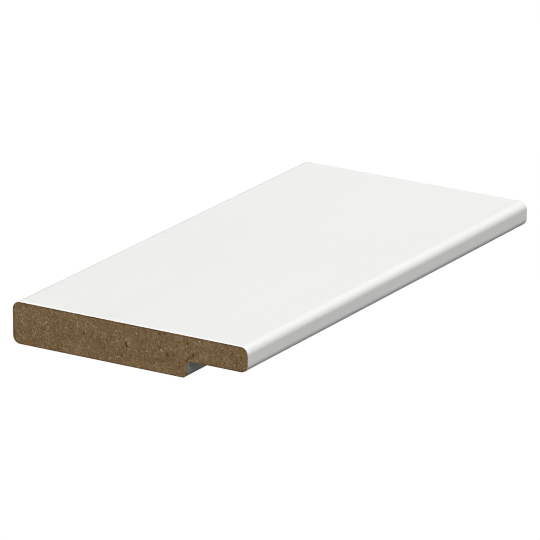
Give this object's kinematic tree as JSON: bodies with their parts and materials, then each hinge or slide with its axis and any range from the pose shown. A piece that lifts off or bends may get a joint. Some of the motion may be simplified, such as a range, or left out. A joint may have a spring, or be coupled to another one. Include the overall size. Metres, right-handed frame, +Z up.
{
  "type": "reveal lining board",
  "caption": "Flat white-painted fibreboard lining for a window or door reveal, with rounded long edges, square bare-cut ends and a stepped rebate along the back of its nose edge.",
  "frame": {"origin": "middle of the board's footprint, on the surface that its back lies on", "axes": "+X across the board, from the wall edge to the rebated nose edge; +Y along the board; +Z up, out of the show face"},
  "size_m": [0.1, 0.2, 0.016],
  "materials": {
    "painted_fibreboard": "medium-density fibreboard, factory painted satin white on its faces and long edges, with bare brown fibreboard at the two sawn ends"
  },
  "bodies": {
    "root": {"lining_board": "painted_fibreboard"}
  },
  "joints": []
}
